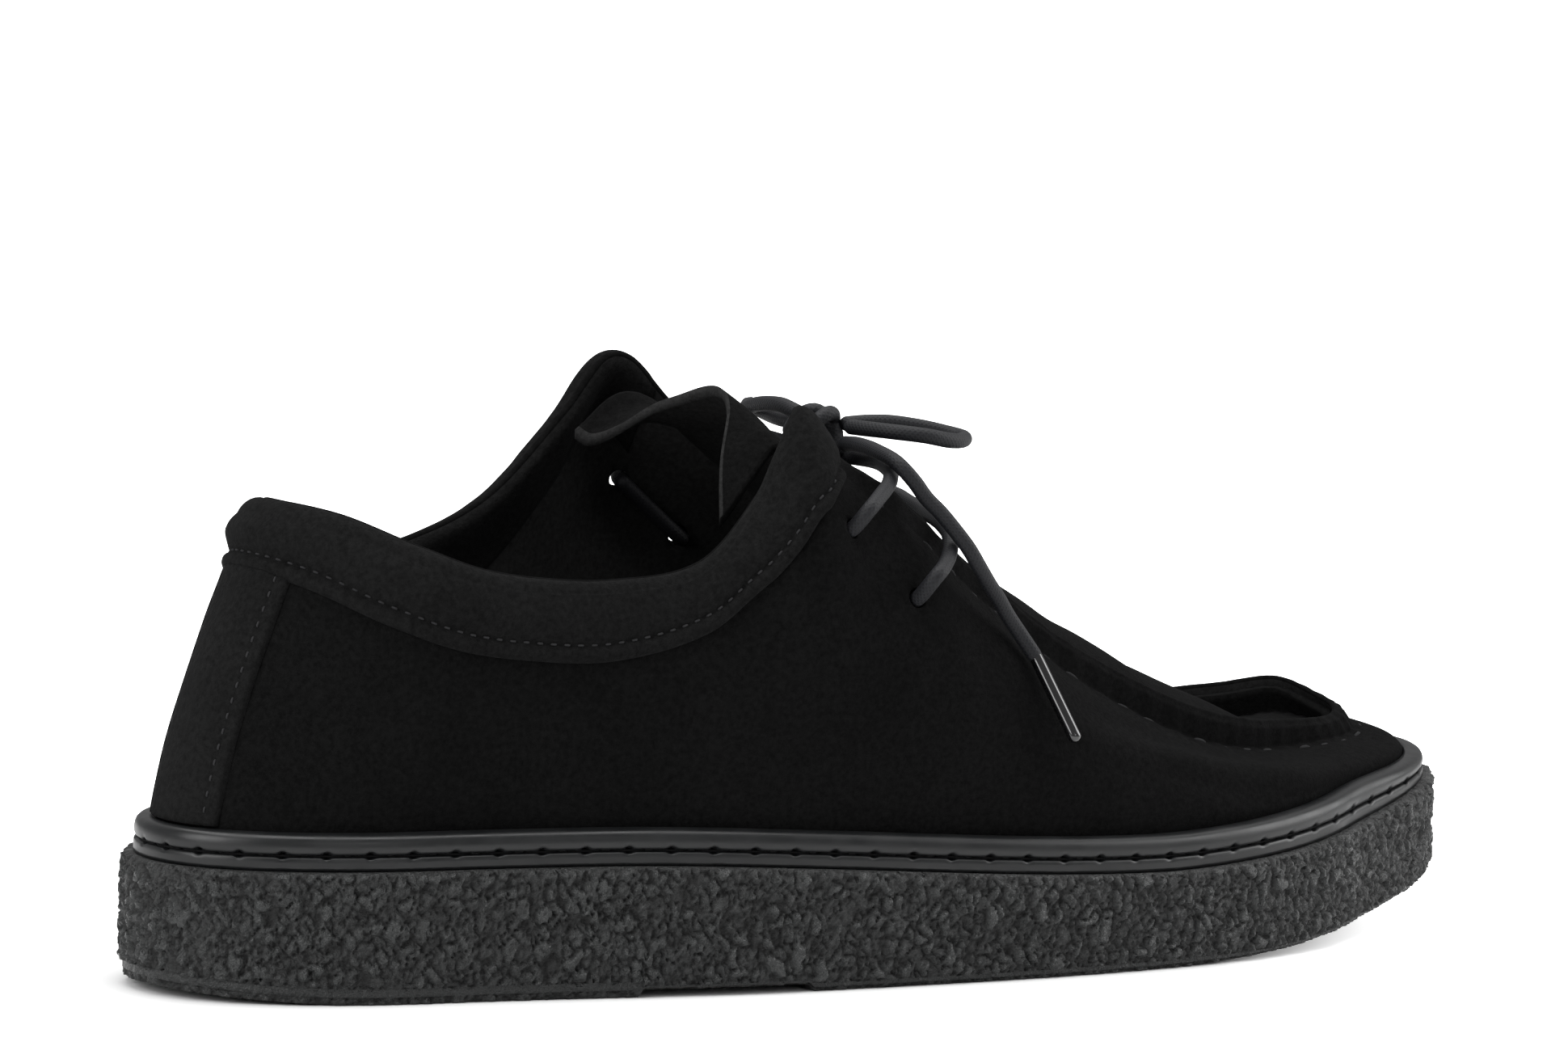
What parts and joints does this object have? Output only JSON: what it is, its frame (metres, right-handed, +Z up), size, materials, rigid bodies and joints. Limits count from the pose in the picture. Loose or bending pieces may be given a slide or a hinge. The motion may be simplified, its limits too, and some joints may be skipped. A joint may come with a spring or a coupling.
{
  "type": "moccasin shoe",
  "caption": "Low moccasin shoe for the right foot: hollow soft upper with a puckered apron, collar band, tied lace and a thick crumb rubber sole.",
  "frame": {"origin": "middle of the shoe's box on the floor, between heel and toe and between the widest points of the sole", "axes": "+X from heel to toe, +Y to the inner side of the foot, +Z up, millimetres in the source and metres here"},
  "size_m": [0.3, 0.1023, 0.1143],
  "materials": {
    "crumb_rubber": "matt recycled crumb",
    "welt_rubber": "semi-gloss",
    "insole_leather": "matt",
    "suede": "napped",
    "lace": "waxed braid",
    "lace_tip": "gloss"
  },
  "bodies": {
    "root": {"outsole": "crumb_rubber", "welt": "welt_rubber", "insole": "insole_leather", "upper": "suede", "apron": "suede", "tongue": "suede", "collar_band": "suede", "heel_strip": "suede", "lace_bar": "lace", "lace_crossing": "lace", "bow_knot": "lace", "bow_loop_outer": "lace", "bow_loop_inner": "lace", "lace_end_outer": "lace", "lace_end_inner": "lace", "aglet_outer": "lace_tip", "aglet_inner": "lace_tip"}
  },
  "joints": []
}
